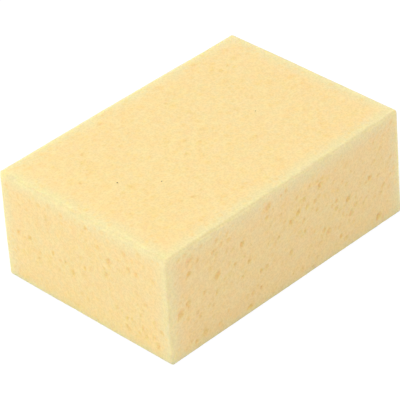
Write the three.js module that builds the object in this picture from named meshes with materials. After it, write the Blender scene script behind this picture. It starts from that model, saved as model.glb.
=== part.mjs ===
// A hydro sponge, the block that tilers and decorators wash down with: one rectangular piece of
// open-cell polyurethane foam, cut wet from a larger bun. It has no handle, backing or bristles.
//
// Millimetres, +Z up. The origin is at the centre of the bottom face, +X runs along the length
// and +Y across the width.

import * as THREE from 'three';
import { RoundedBoxGeometry } from 'three/addons/geometries/RoundedBoxGeometry.js';

// Driving dimensions
const LENGTH = 160;
const WIDTH = 110;
const THICKNESS = 60;

// Foam springs back behind the blade, which leaves each edge a little round.
const EDGE_RADIUS = 1.5;
const EDGE_SEGMENTS = 3;

// Pale yellow, dry and dull
const FOAM_COLOUR = 0xf8dfa0;
const FOAM_ROUGHNESS = 0.95;

function foamMaterial() {
  return new THREE.MeshStandardMaterial({
    name: 'foam',
    color: FOAM_COLOUR,
    roughness: FOAM_ROUGHNESS,
    metalness: 0,
  });
}

function spongeBlock() {
  const geometry = new RoundedBoxGeometry(LENGTH, WIDTH, THICKNESS, EDGE_SEGMENTS, EDGE_RADIUS);
  const block = new THREE.Mesh(geometry, foamMaterial());
  block.name = 'sponge_block';
  block.position.z = THICKNESS / 2;
  return block;
}

const sponge = new THREE.Group();
sponge.name = 'hydro_sponge';
sponge.add(spongeBlock());

export default sponge;
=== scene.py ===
import math

import bpy
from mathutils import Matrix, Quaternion, Vector


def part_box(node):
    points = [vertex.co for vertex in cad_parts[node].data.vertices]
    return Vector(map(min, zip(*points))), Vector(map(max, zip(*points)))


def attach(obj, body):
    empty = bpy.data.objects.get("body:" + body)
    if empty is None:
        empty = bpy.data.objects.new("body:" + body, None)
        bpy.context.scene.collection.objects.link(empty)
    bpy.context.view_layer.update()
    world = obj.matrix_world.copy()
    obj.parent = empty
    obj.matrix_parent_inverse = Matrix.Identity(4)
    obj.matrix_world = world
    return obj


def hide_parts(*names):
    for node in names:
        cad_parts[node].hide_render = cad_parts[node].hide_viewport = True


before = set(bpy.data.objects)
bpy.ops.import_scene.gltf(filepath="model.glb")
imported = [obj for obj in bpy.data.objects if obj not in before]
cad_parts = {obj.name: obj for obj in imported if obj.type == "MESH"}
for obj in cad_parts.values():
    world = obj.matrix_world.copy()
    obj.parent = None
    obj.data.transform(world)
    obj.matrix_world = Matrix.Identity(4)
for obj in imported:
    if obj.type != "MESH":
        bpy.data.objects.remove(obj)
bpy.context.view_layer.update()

# ------------------------------------------------------------------------------ foam block
# The whole sponge is one block of pale yellow open-cell polyurethane foam. It is cut from a
# larger bun with a band blade, which leaves flat faces, nearly sharp edges, and the bubbles
# that it passed through lying open as pores.

block_low, block_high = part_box("sponge_block")
BLOCK_SIZE = block_high - block_low
EDGE_RADIUS = 0.0015
FACET = 0.0005
END_LEAN = 0.0016
END_TAPER = 0.010
WAVE_HEIGHT = 0.0004
WAVE_LENGTH = 0.035
GRAIN_HEIGHT = 0.00012
GRAIN_LENGTH = 0.0011

# A point of the box this near to a face's plane is on that face.
ON_FACE = 0.0005

# Less light gets in at the base, so a place low down counts as this much further from it.
BASE_SHADE = 0.006

# The bun rose at a slant, so every bubble is stretched along one line.
RISE_ANGLE = math.radians(48)
RISE_LINE = (math.cos(RISE_ANGLE), 0.0, math.sin(RISE_ANGLE))
RISE_STRETCH = 1.35

BUBBLE_SEED = 7
WIDE_BUBBLE_SPACING = 0.0105
WIDE_BUBBLE_RADII = (0.0011, 0.0024)
SMALL_BUBBLE_SPACING = 0.0031
SMALL_BUBBLE_RADII = (0.0005, 0.0014)
SMALL_RADII_FIRST = 2.0

# Bubbles gather in loose clusters, and fewer of them join where there are chosen ones already.
CLUSTER_LENGTH = 0.014
CLUSTER_NOISE = (0.38, 0.6)
LEAST_CROWDED = 0.12
BESIDE_CHOSEN = 0.4

# How deep a bubble is cut in radii, how round its hollow is, and how ragged its rim.
BUBBLE_DEPTH = 0.67
HOLLOW_CURVE = 1.7
RAGGED_LENGTH = 0.0026
RAGGED_PUSH = 0.0024

# The warm shade painted in and round a bubble: how far it reaches in radii, how it fades out,
# and how little it pales where the bubble is barely open.
RIM_REACH = 1.75
RIM_FADE = 1.5
SHALLOW_PALING = 0.18

# The blade tore the bubbles of the long sides open most, and those of the wide faces least.
# The painted shade in and round the pores is weaker on the faces where they are less open.
OPENNESS_RANGE = (0.2, 0.95)
OPENNESS_SEED_STEP = 20.0
END_OPENNESS = 0.68
FLAT_OPENNESS = 0.45

# It pressed the edges shut as it left them, so few pores are seen there.
SHUT_EDGE = (0.001, 0.0045)
OPEN_AT_EDGE = 0.1

# Wide bubbles that the blade opened most: place on the face and radius, in millimetres.
LONG_SIDE_BUBBLES = [
    (23, 46, 2.0), (7, 39, 1.8), (-31, 42, 1.7), (-48, 34, 1.9), (-50, 48, 1.5), (-66, 45, 1.5),
    (-68, 29, 1.7), (11, 26, 1.2), (20, 34, 1.2), (44, 19, 1.5), (63, 6, 2.1), (-28, 4, 1.8),
    (-64, 5, 1.4), (-58, 7, 1.8), (58, 32, 1.6), (42, 28, 1.8), (-27, 30, 1.4), (1, 19, 1.3),
]
END_BUBBLES = [
    (8, 23, 1.8), (13, 27, 1.2), (37, 29, 1.4), (45, 29, 1.5), (-15, 33, 1.7), (-30, 43, 1.4),
    (-44, 11, 1.5), (-39, 9, 1.3), (7, 4, 1.6), (-6, 3, 1.5), (-30, 15, 1.2), (-17, 41, 1.9),
]
TOP_BUBBLES = [
    (-62, 18, 1.4), (-13, -3, 1.5), (-8, -10, 1.5), (19, -18, 1.6), (12, 35, 1.4), (14, 21, 1.6),
    (-36, -30, 1.7), (12, -40, 1.6), (46, 49, 1.8), (51, 35, 1.5), (-45, 34, 1.7), (30, 5, 1.5),
]


def add_node(tree, kind, sockets=None, **options):
    """Adds a node, sets its options, and sets or links its inputs, named or numbered."""
    node = tree.nodes.new(kind)
    for name, value in options.items():
        setattr(node, name, value)
    for name, value in (sockets or {}).items():
        if isinstance(value, bpy.types.NodeSocket):
            tree.links.new(value, node.inputs[name])
        else:
            node.inputs[name].default_value = value
    return node


def calculate(tree, operation, *values):
    """The result of a Math node."""
    return add_node(tree, "ShaderNodeMath", dict(enumerate(values)), operation=operation).outputs[0]


def vector_of(tree, operation, *values):
    """The vector that a Vector Math node gives."""
    node = add_node(tree, "ShaderNodeVectorMath", dict(enumerate(values)), operation=operation)
    return node.outputs["Vector"]


def number_of(tree, operation, *values):
    """The single number that a Vector Math node gives, such as a length."""
    node = add_node(tree, "ShaderNodeVectorMath", dict(enumerate(values)), operation=operation)
    return node.outputs["Value"]


def scaled(tree, vector, scale):
    """A vector made longer or shorter."""
    node = add_node(tree, "ShaderNodeVectorMath", {0: vector, "Scale": scale}, operation="SCALE")
    return node.outputs["Vector"]


def parts_of(tree, vector):
    """A vector's x, y and z."""
    return add_node(tree, "ShaderNodeSeparateXYZ", {0: vector}).outputs


def joined(tree, x, y, z):
    """The vector of x, y and z."""
    return add_node(tree, "ShaderNodeCombineXYZ", {0: x, 1: y, 2: z}).outputs[0]


def noise_of(tree, place, length, detail):
    """A Noise Texture whose lumps are about as long as given."""
    return add_node(
        tree, "ShaderNodeTexNoise", {"Vector": place, "Scale": 1 / length, "Detail": detail}
    )


def remapped(tree, value, come_from, go_to=(0.0, 1.0), **options):
    """A value moved from one range to another, and kept within the second."""
    return add_node(
        tree,
        "ShaderNodeMapRange",
        {
            "Value": value,
            "From Min": come_from[0],
            "From Max": come_from[1],
            "To Min": go_to[0],
            "To Max": go_to[1],
        },
        **options,
    ).outputs[0]


def store(tree, geometry, name, value):
    """Keeps a number with every point, by name."""
    return add_node(
        tree,
        "GeometryNodeStoreNamedAttribute",
        {"Geometry": geometry, "Name": name, "Value": value},
        data_type="FLOAT",
        domain="POINT",
    ).outputs[0]


def face_openness(tree, place):
    """How far the blade tore bubbles open on the face that a place on the box belongs to."""
    x, _, z = parts_of(tree, vector_of(tree, "ABSOLUTE", place))
    on_end = calculate(tree, "GREATER_THAN", x, BLOCK_SIZE.x / 2 - ON_FACE)
    on_flat = calculate(tree, "GREATER_THAN", z, BLOCK_SIZE.z / 2 - ON_FACE)
    with_end = calculate(tree, "MULTIPLY_ADD", on_end, END_OPENNESS - 1, 1.0)
    return calculate(tree, "MULTIPLY_ADD", on_flat, FLAT_OPENNESS - 1, with_end)


def away_from_chosen(tree, place):
    """Less than 1 on the three faces that have chosen bubbles already, and 1 on the others."""
    x, y, z = parts_of(tree, place)
    on_end = calculate(tree, "LESS_THAN", x, ON_FACE - BLOCK_SIZE.x / 2)
    on_side = calculate(tree, "LESS_THAN", y, ON_FACE - BLOCK_SIZE.y / 2)
    on_top = calculate(tree, "GREATER_THAN", z, BLOCK_SIZE.z / 2 - ON_FACE)
    chosen = calculate(tree, "MAXIMUM", calculate(tree, "MAXIMUM", on_end, on_side), on_top)
    return calculate(tree, "MULTIPLY_ADD", chosen, BESIDE_CHOSEN - 1, 1.0)


def opened_bubbles(tree, faces, spacing, radii, seed, extra=None):
    """Points on the cut faces, each the middle of an opened bubble, in loose clusters."""
    place = add_node(tree, "GeometryNodeInputPosition").outputs[0]
    crowding = noise_of(tree, place, CLUSTER_LENGTH, 1.0).outputs[0]
    crowded = remapped(tree, crowding, CLUSTER_NOISE, (LEAST_CROWDED, 1.0))
    if extra is not None:
        crowded = calculate(tree, "MULTIPLY", crowded, away_from_chosen(tree, place))
    scatter = add_node(
        tree,
        "GeometryNodeDistributePointsOnFaces",
        {
            "Mesh": faces,
            "Distance Min": spacing,
            "Density Max": 1e6,
            "Density Factor": crowded,
            "Seed": seed,
        },
        distribute_method="POISSON",
    )
    chance = add_node(tree, "FunctionNodeRandomValue", {"Seed": seed}, data_type="FLOAT").outputs[1]
    small_mostly = calculate(tree, "POWER", chance, SMALL_RADII_FIRST)
    radius = calculate(tree, "MULTIPLY_ADD", small_mostly, radii[1] - radii[0], radii[0])
    sized = store(tree, scatter.outputs["Points"], "bubble_radius", radius)
    second_seed = calculate(tree, "ADD", seed, OPENNESS_SEED_STEP)
    second_chance = add_node(
        tree, "FunctionNodeRandomValue", {"Seed": second_seed}, data_type="FLOAT"
    ).outputs[1]
    least, most = OPENNESS_RANGE
    openness = calculate(tree, "MULTIPLY_ADD", second_chance, most - least, least)
    torn = calculate(tree, "MULTIPLY", openness, face_openness(tree, place))
    points = store(tree, sized, "bubble_openness", torn)
    if extra is None:
        return points
    join = add_node(tree, "GeometryNodeJoinGeometry")
    tree.links.new(points, join.inputs[0])
    tree.links.new(extra, join.inputs[0])
    return join.outputs[0]


def bubble_cut(tree, bubbles, place):
    """The nearest bubble at a place: how deep it cuts, and the warm shade painted in and round it.
    """
    nearest = add_node(
        tree, "GeometryNodeSampleNearest", {"Geometry": bubbles, "Sample Position": place}
    ).outputs[0]

    def of_nearest(value, data_type):
        return add_node(
            tree,
            "GeometryNodeSampleIndex",
            {"Geometry": bubbles, "Value": value, "Index": nearest},
            data_type=data_type,
        ).outputs[0]

    def kept(name):
        stored = add_node(
            tree, "GeometryNodeInputNamedAttribute", {"Name": name}, data_type="FLOAT"
        ).outputs[0]
        return of_nearest(stored, "FLOAT")

    own_place = add_node(tree, "GeometryNodeInputPosition").outputs[0]
    middle = of_nearest(own_place, "FLOAT_VECTOR")
    radius = kept("bubble_radius")
    openness = kept("bubble_openness")

    # How far the place is from the middle, in squared radii of the stretched bubble
    away = vector_of(tree, "SUBTRACT", place, middle)
    away_squared = number_of(tree, "DOT_PRODUCT", away, away)
    along = number_of(tree, "DOT_PRODUCT", away, RISE_LINE)
    along_squared = calculate(tree, "MULTIPLY", along, along)
    squeezed = calculate(tree, "MULTIPLY", along_squared, 1 - 1 / RISE_STRETCH**2)
    reach_squared = calculate(tree, "SUBTRACT", away_squared, squeezed)
    reach = calculate(
        tree, "DIVIDE", reach_squared, calculate(tree, "MULTIPLY", radius, radius)
    )

    dish = calculate(tree, "MAXIMUM", calculate(tree, "SUBTRACT", 1.0, reach), 0.0)
    hollow = calculate(tree, "POWER", dish, HOLLOW_CURVE)
    opened = calculate(tree, "MULTIPLY", hollow, openness)
    # The painted warm shade fades out from the bubble's middle, and is weaker where it is barely
    # open.
    rim = calculate(tree, "MULTIPLY_ADD", reach, -1 / RIM_REACH**2, 1.0)
    shade = calculate(tree, "POWER", calculate(tree, "MAXIMUM", rim, 0.0), RIM_FADE)
    paled = calculate(tree, "POWER", openness, SHALLOW_PALING)
    painted_warm_shade = calculate(tree, "MULTIPLY", shade, paled)
    return calculate(tree, "MULTIPLY", opened, radius), painted_warm_shade


def foam_block_tree():
    """Geometry Nodes that cut the block: its flat faces, its eased edges and its open bubbles."""
    tree = bpy.data.node_groups.new("cut foam block", "GeometryNodeTree")
    made = tree.interface
    for name, kind in (
        ("Length", "NodeSocketFloat"),
        ("Width", "NodeSocketFloat"),
        ("Thickness", "NodeSocketFloat"),
        ("Edge Radius", "NodeSocketFloat"),
        ("Facet", "NodeSocketFloat"),
        ("Wide Bubble Spacing", "NodeSocketFloat"),
        ("Small Bubble Spacing", "NodeSocketFloat"),
        ("Bubble Depth", "NodeSocketFloat"),
        ("Chosen Bubbles", "NodeSocketObject"),
        ("Seed", "NodeSocketInt"),
        ("Foam", "NodeSocketMaterial"),
    ):
        made.new_socket(name, in_out="INPUT", socket_type=kind)
    made.new_socket("Block", in_out="OUTPUT", socket_type="NodeSocketGeometry")
    given = add_node(tree, "NodeGroupInput").outputs

    # A box of even quads, centred on the origin
    size = joined(tree, given["Length"], given["Width"], given["Thickness"])
    box = add_node(tree, "GeometryNodeMeshCube", {"Size": size})
    for axis, side in (("X", "Length"), ("Y", "Width"), ("Z", "Thickness")):
        steps = calculate(tree, "ROUND", calculate(tree, "DIVIDE", given[side], given["Facet"]))
        tree.links.new(calculate(tree, "ADD", steps, 1.0), box.inputs["Vertices " + axis])

    # How far each point is from the nearest edge, and how far it counts as being in the light
    place = add_node(tree, "GeometryNodeInputPosition").outputs[0]
    half = scaled(tree, size, 0.5)
    x, y, z = parts_of(tree, place)
    gap = parts_of(tree, vector_of(tree, "SUBTRACT", half, vector_of(tree, "ABSOLUTE", place)))
    least_xy = calculate(tree, "MINIMUM", gap[0], gap[1])
    most_xy = calculate(tree, "MAXIMUM", gap[0], gap[1])
    edge_gap = calculate(tree, "MAXIMUM", least_xy, calculate(tree, "MINIMUM", most_xy, gap[2]))
    shaded = calculate(tree, "MULTIPLY", calculate(tree, "LESS_THAN", z, 0.0), BASE_SHADE)
    lit_z = calculate(tree, "ADD", gap[2], shaded)
    lit_gap = calculate(tree, "MAXIMUM", least_xy, calculate(tree, "MINIMUM", most_xy, lit_z))
    # Kept with every point for the painted light and shade along the edges.
    measured = store(tree, box.outputs["Mesh"], "edge_gap", lit_gap)

    # Eased edges: what lies outside an inner box is drawn on to a small ball's radius from it
    inner = vector_of(tree, "SUBTRACT", half, given["Edge Radius"])
    nearest_inside = vector_of(
        tree, "MAXIMUM", vector_of(tree, "MINIMUM", place, inner), scaled(tree, inner, -1.0)
    )
    outward = vector_of(tree, "NORMALIZE", vector_of(tree, "SUBTRACT", place, nearest_inside))
    eased = vector_of(tree, "ADD", nearest_inside, scaled(tree, outward, given["Edge Radius"]))
    rounded = add_node(
        tree, "GeometryNodeSetPosition", {"Geometry": measured, "Position": eased}
    ).outputs[0]

    # Bubbles that the blade opened, wide and small
    chosen = add_node(
        tree, "GeometryNodeObjectInfo", {"Object": given["Chosen Bubbles"]}
    ).outputs["Geometry"]
    chosen_points = add_node(tree, "GeometryNodeMeshToPoints", {"Mesh": chosen}).outputs[0]
    wide = opened_bubbles(
        tree,
        rounded,
        given["Wide Bubble Spacing"],
        WIDE_BUBBLE_RADII,
        given["Seed"],
        chosen_points,
    )
    small = opened_bubbles(
        tree,
        rounded,
        given["Small Bubble Spacing"],
        SMALL_BUBBLE_RADII,
        calculate(tree, "ADD", given["Seed"], 1.0),
    )
    ragged = noise_of(tree, place, RAGGED_LENGTH, 2.0).outputs["Color"]
    pushed = scaled(tree, vector_of(tree, "SUBTRACT", ragged, (0.5, 0.5, 0.5)), RAGGED_PUSH)
    ragged_place = vector_of(tree, "ADD", place, pushed)
    wide_depth, wide_shade = bubble_cut(tree, wide, ragged_place)
    small_depth, small_shade = bubble_cut(tree, small, ragged_place)
    off_the_edge = remapped(tree, edge_gap, SHUT_EDGE, (OPEN_AT_EDGE, 1.0))
    deepest = calculate(tree, "MAXIMUM", wide_depth, small_depth)
    cut_depth = calculate(tree, "MULTIPLY", deepest, given["Bubble Depth"])
    depth = calculate(tree, "MULTIPLY", cut_depth, off_the_edge)
    # How strongly painted shade colours the foam in and round the pores, kept with every point.
    darkest = calculate(tree, "MAXIMUM", wide_shade, small_shade)
    marked = store(tree, rounded, "pore", calculate(tree, "MULTIPLY", darkest, off_the_edge))

    # Slow waves and the grain of torn cells, both along the face's own direction. The base
    # lies flat on the table, so the waves don't lift or lower the bottom half.
    wave = noise_of(tree, place, WAVE_LENGTH, 0.0).outputs[0]
    grain = noise_of(tree, place, GRAIN_LENGTH, 1.0).outputs[0]
    wave_rise = calculate(tree, "MULTIPLY", calculate(tree, "SUBTRACT", wave, 0.5), WAVE_HEIGHT)
    grain_rise = calculate(tree, "MULTIPLY", calculate(tree, "SUBTRACT", grain, 0.5), GRAIN_HEIGHT)
    fine_rise = calculate(tree, "SUBTRACT", grain_rise, depth)
    normal = add_node(tree, "GeometryNodeInputNormal").outputs[0]
    upper_half = calculate(tree, "GREATER_THAN", z, 0.0)
    level_wave = vector_of(
        tree, "MULTIPLY", scaled(tree, normal, wave_rise), joined(tree, 1.0, 1.0, upper_half)
    )
    push = vector_of(tree, "ADD", level_wave, scaled(tree, normal, fine_rise))
    cut = add_node(
        tree, "GeometryNodeSetPosition", {"Geometry": marked, "Offset": push}
    ).outputs[0]

    # Stand it on its base, with the far end a little out of square
    share_of_length = calculate(tree, "ADD", calculate(tree, "DIVIDE", x, given["Length"]), 0.5)
    share_of_height = calculate(tree, "ADD", calculate(tree, "DIVIDE", z, given["Thickness"]), 0.5)
    far_and_high = calculate(tree, "MULTIPLY", share_of_length, share_of_height)
    lean = calculate(tree, "MULTIPLY", far_and_high, -END_LEAN)
    taper = calculate(tree, "MULTIPLY", calculate(tree, "MULTIPLY", far_and_high, y), -END_TAPER)
    lift = calculate(tree, "MULTIPLY", given["Thickness"], 0.5)
    standing = add_node(
        tree,
        "GeometryNodeSetPosition",
        {"Geometry": cut, "Offset": joined(tree, lean, taper, lift)},
    ).outputs[0]
    smooth = add_node(tree, "GeometryNodeSetShadeSmooth", {"Geometry": standing}).outputs[0]
    real = add_node(tree, "GeometryNodeRealizeInstances", {"Geometry": smooth}).outputs[0]
    finished = add_node(
        tree, "GeometryNodeSetMaterial", {"Geometry": real, "Material": given["Foam"]}
    ).outputs[0]
    add_node(tree, "NodeGroupOutput", {0: finished})
    return tree


def chosen_bubble_points():
    """The chosen bubbles as loose points on the block's faces, measured from the block's centre."""
    half = BLOCK_SIZE / 2
    points = []
    for x, z, radius in LONG_SIDE_BUBBLES:
        points.append((x / 1000, -half.y, z / 1000 - half.z, radius / 1000, 1.0))
    for y, z, radius in END_BUBBLES:
        points.append((-half.x, y / 1000, z / 1000 - half.z, radius / 1000, END_OPENNESS))
    for x, y, radius in TOP_BUBBLES:
        points.append((x / 1000, y / 1000, half.z, radius / 1000, FLAT_OPENNESS))
    mesh = bpy.data.meshes.new("chosen_bubbles")
    mesh.from_pydata([point[:3] for point in points], [], [])
    radii = mesh.attributes.new("bubble_radius", "FLOAT", "POINT")
    radii.data.foreach_set("value", [point[3] for point in points])
    openness = mesh.attributes.new("bubble_openness", "FLOAT", "POINT")
    openness.data.foreach_set("value", [point[4] for point in points])
    holder = bpy.data.objects.new("chosen_bubbles", mesh)
    bpy.context.scene.collection.objects.link(holder)
    return holder


# The foam is dull and lets light through a little way. Painted shade makes it deepest in colour
# inside the open bubbles, and painted light pales it to lemon along the edges, where there is
# less foam behind the surface.
CORE_COLOUR = (0.86, 0.69, 0.335, 1)
WARM_COLOUR = (0.87, 0.662, 0.303, 1)
BLOTCH_LENGTH = 0.0036
BLOTCH_NOISE = (0.35, 0.65)
# Painted light shining through the thin edges, and a line of painted shade on the very edge.
EDGE_LIGHT_COLOUR = (0.79, 0.70, 0.374, 1)
EDGE_LIGHT_BAND = (0.0012, 0.0115)
CORNER_SHADE_COLOUR = (0.71, 0.61, 0.34, 1)
CORNER_SHADE_BAND = (0.0, 0.0020)
BAND_DRIFT = 0.004
BAND_DRIFT_LENGTH = 0.006
# The deeper orange in and round the pores is painted shade.
PORE_SHADE_COLOUR = (0.85, 0.63, 0.24, 1)
MOST_PORE_SHADE = 0.58
FOAM_GLINT = 0.15
LIGHT_SPREAD = (1.0, 0.72, 0.36)
LIGHT_REACH = 0.009

# Each cell is a little paler, smoother and higher towards its walls than in its middle. The
# darker middle is partly the foam's fine grain and partly painted shade in the cell's hollow.
CELL_LENGTH = 0.0010
CELL_SPAN = (0.1, 0.8)
CELL_SHADE = (0.945, 1.045)
CELL_ROUGHNESS = (1.0, 0.86)
CELL_BUMP = 0.28
CELL_HEIGHT = 0.0004

# Three tiny dark specks in the top face: place and radius, in millimetres.
SPECKS = [(-51, 5, 0.38), (-37, -10, 0.30), (34, -3, 0.28)]
SPECK_COLOUR = (0.12, 0.08, 0.05, 1)


def foam_material():
    """Dull, light yellow foam: blotches, painted light and shade on edges, painted pore shade,
    cells, specks.
    """
    foam = bpy.data.materials.new("hydro_foam")
    foam.use_nodes = True
    tree = foam.node_tree
    tree.nodes.clear()
    place = add_node(tree, "ShaderNodeTexCoord").outputs["Object"]

    def kept(name):
        return add_node(tree, "ShaderNodeAttribute", attribute_name=name).outputs["Fac"]

    def mixed(share, first, second):
        # A colour Mix node's inputs are 0 for its factor, and 6 and 7 for its colours
        return add_node(
            tree, "ShaderNodeMix", {0: share, 6: first, 7: second}, data_type="RGBA"
        ).outputs[2]

    blotches = noise_of(tree, place, BLOTCH_LENGTH, 3.0).outputs[0]
    colour = mixed(remapped(tree, blotches, BLOTCH_NOISE), CORE_COLOUR, WARM_COLOUR)

    drift = noise_of(tree, place, BAND_DRIFT_LENGTH, 2.0).outputs[0]
    drifted_gap = calculate(
        tree, "MULTIPLY_ADD", calculate(tree, "SUBTRACT", drift, 0.5), BAND_DRIFT, kept("edge_gap")
    )
    # A band of painted light along the edges, then a thin line of painted shade on the very edge.
    for band, painted_band_colour in ((EDGE_LIGHT_BAND, EDGE_LIGHT_COLOUR), (CORNER_SHADE_BAND, CORNER_SHADE_COLOUR)):
        near = remapped(tree, drifted_gap, band, (1.0, 0.0), interpolation_type="SMOOTHSTEP")
        colour = mixed(near, colour, painted_band_colour)

    # Painted warm shade in and round the open bubbles.
    pore_shade_share = remapped(tree, kept("pore"), (0.0, 1.0), (0.0, MOST_PORE_SHADE))
    colour = mixed(pore_shade_share, colour, PORE_SHADE_COLOUR)

    cells = add_node(
        tree, "ShaderNodeTexVoronoi", {"Vector": place, "Scale": 1 / CELL_LENGTH}
    ).outputs["Distance"]
    colour = scaled(tree, colour, remapped(tree, cells, CELL_SPAN, CELL_SHADE))
    roughness = remapped(tree, cells, CELL_SPAN, CELL_ROUGHNESS)
    bump = add_node(
        tree,
        "ShaderNodeBump",
        {"Height": cells, "Strength": CELL_BUMP, "Distance": CELL_HEIGHT},
    ).outputs[0]

    for x, y, radius in SPECKS:
        away = number_of(tree, "DISTANCE", place, (x / 1000, y / 1000, BLOCK_SIZE.z))
        colour = mixed(calculate(tree, "LESS_THAN", away, radius / 1000), colour, SPECK_COLOUR)

    surface = add_node(
        tree,
        "ShaderNodeBsdfPrincipled",
        {
            "Base Color": colour,
            "Roughness": roughness,
            "Normal": bump,
            "Specular IOR Level": FOAM_GLINT,
            "Subsurface Weight": 1.0,
            "Subsurface Radius": LIGHT_SPREAD,
            "Subsurface Scale": LIGHT_REACH,
        },
    ).outputs[0]
    add_node(tree, "ShaderNodeOutputMaterial", {"Surface": surface})
    return foam


def make_foam_block():
    """Runs the Geometry Nodes once and keeps their result as a plain mesh."""
    block = bpy.data.objects.new("foam_block", bpy.data.meshes.new("foam_block"))
    bpy.context.scene.collection.objects.link(block)
    cutting = block.modifiers.new("cutting", "NODES")
    cutting.node_group = foam_block_tree()
    bubbles = chosen_bubble_points()
    given = {
        "Length": BLOCK_SIZE.x,
        "Width": BLOCK_SIZE.y,
        "Thickness": BLOCK_SIZE.z,
        "Edge Radius": EDGE_RADIUS,
        "Facet": FACET,
        "Wide Bubble Spacing": WIDE_BUBBLE_SPACING,
        "Small Bubble Spacing": SMALL_BUBBLE_SPACING,
        "Bubble Depth": BUBBLE_DEPTH,
        "Chosen Bubbles": bubbles,
        "Seed": BUBBLE_SEED,
        "Foam": foam_material(),
    }
    for socket in cutting.node_group.interface.items_tree:
        if socket.in_out == "INPUT":
            cutting[socket.identifier] = given[socket.name]
    evaluated = block.evaluated_get(bpy.context.evaluated_depsgraph_get())
    mesh = bpy.data.meshes.new_from_object(evaluated)
    block.modifiers.remove(cutting)
    block.data = mesh
    bpy.data.objects.remove(bubbles)
    return block


foam_block = make_foam_block()
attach(foam_block, "root")
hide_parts("sponge_block")

# ------------------------------------------------------------------------------ floor
# A plain white table, wide enough to fill the view from any side. It is nearly pure white to
# the eye, and a little greyer in the light that it throws back on to the foam.

FLOOR_REACH = 6.0
FLOOR_COLOUR = (0.81, 0.81, 0.90, 1)
FLOOR_GLOW = 0.85
FLOOR_WHITE = 1.1


def make_floor():
    """One flat face with the floor's own paint."""
    mesh = bpy.data.meshes.new("floor")
    r = FLOOR_REACH
    mesh.from_pydata([(-r, -r, 0), (r, -r, 0), (r, r, 0), (-r, r, 0)], [], [(0, 1, 2, 3)])
    floor = bpy.data.objects.new("floor", mesh)
    bpy.context.scene.collection.objects.link(floor)
    paint = bpy.data.materials.new("white_table")
    paint.use_nodes = True
    tree = paint.node_tree
    tree.nodes.clear()
    dull = add_node(tree, "ShaderNodeBsdfDiffuse", {"Color": FLOOR_COLOUR}).outputs[0]
    lit = add_node(tree, "ShaderNodeEmission", {"Strength": FLOOR_WHITE}).outputs[0]
    seen = add_node(tree, "ShaderNodeLightPath").outputs["Is Camera Ray"]
    share = calculate(tree, "MULTIPLY", seen, FLOOR_GLOW)
    both = add_node(tree, "ShaderNodeMixShader", {0: share, 1: dull, 2: lit}).outputs[0]
    add_node(tree, "ShaderNodeOutputMaterial", {"Surface": both})
    mesh.materials.append(paint)
    return floor


floor = make_floor()

# ------------------------------------------------------------------------------ studio light
# A white room lights every side softly. One large panel on the left makes the end face as
# bright as the top, and leaves the long side a little in shade.

ROOM_LIGHT = 0.976
ROOM_WHITE = 1.1
ROOM_COLOUR = (1.0, 0.97, 1.02, 1)
PANEL_SIZE = 0.65
PANEL_POWER = 2.6
PANEL_COLOUR = (1.0, 1.05, 0.80)
PANEL_PLACE = Vector((-0.74, 0.36, 0.78))


def light_the_room():
    """An even light from all round, seen as a slightly brighter white than it throws."""
    world = bpy.data.worlds.new("white_room")
    world.use_nodes = True
    tree = world.node_tree
    back = tree.nodes["Background"]
    back.inputs["Color"].default_value = ROOM_COLOUR
    seen = add_node(tree, "ShaderNodeLightPath").outputs["Is Camera Ray"]
    extra = calculate(tree, "MULTIPLY", seen, ROOM_WHITE - ROOM_LIGHT)
    tree.links.new(calculate(tree, "ADD", extra, ROOM_LIGHT), back.inputs["Strength"])
    bpy.context.scene.world = world


def add_left_panel():
    """A round soft panel, turned towards the foot of the block."""
    lamp = bpy.data.lights.new("left_panel", "AREA")
    lamp.shape = "DISK"
    lamp.size = PANEL_SIZE
    lamp.energy = PANEL_POWER
    lamp.color = PANEL_COLOUR
    panel = bpy.data.objects.new("left_panel", lamp)
    panel.location = PANEL_PLACE
    panel.rotation_mode = "QUATERNION"
    panel.rotation_quaternion = (-PANEL_PLACE).to_track_quat("-Z", "Y")
    panel.visible_camera = False
    bpy.context.scene.collection.objects.link(panel)


light_the_room()
add_left_panel()

# ------------------------------------------------------------------------------ camera
# A long lens looks down on the corner between the end face and the long side, tilted a little.

VIEW_AZIMUTH = math.radians(-44.01)
VIEW_ELEVATION = math.radians(35.05)
VIEW_TILT = math.radians(-3.43)
VIEW_DISTANCE = 1.2942
VIEW_ASIDE = -0.0037
VIEW_ABOVE = 0.02035
VIEW_LIMIT = 50
LENS_MM = 240.2


def make_camera():
    """The camera, moved a little aside and up in its own frame to centre the block."""
    flat = math.cos(VIEW_ELEVATION)
    back = Vector(
        (math.sin(VIEW_AZIMUTH) * flat, -math.cos(VIEW_AZIMUTH) * flat, math.sin(VIEW_ELEVATION))
    )
    turn = (-back).to_track_quat("-Z", "Y") @ Quaternion((0, 0, 1), VIEW_TILT)
    camera = bpy.data.objects.new("camera", bpy.data.cameras.new("camera"))
    camera.data.lens = LENS_MM
    camera.data.clip_end = VIEW_LIMIT
    camera.rotation_mode = "QUATERNION"
    camera.rotation_quaternion = turn
    camera.location = back * VIEW_DISTANCE + turn @ Vector((VIEW_ASIDE, VIEW_ABOVE, 0))
    bpy.context.scene.collection.objects.link(camera)
    return camera


bpy.context.scene.camera = make_camera()
bpy.context.scene.view_settings.view_transform = "Standard"
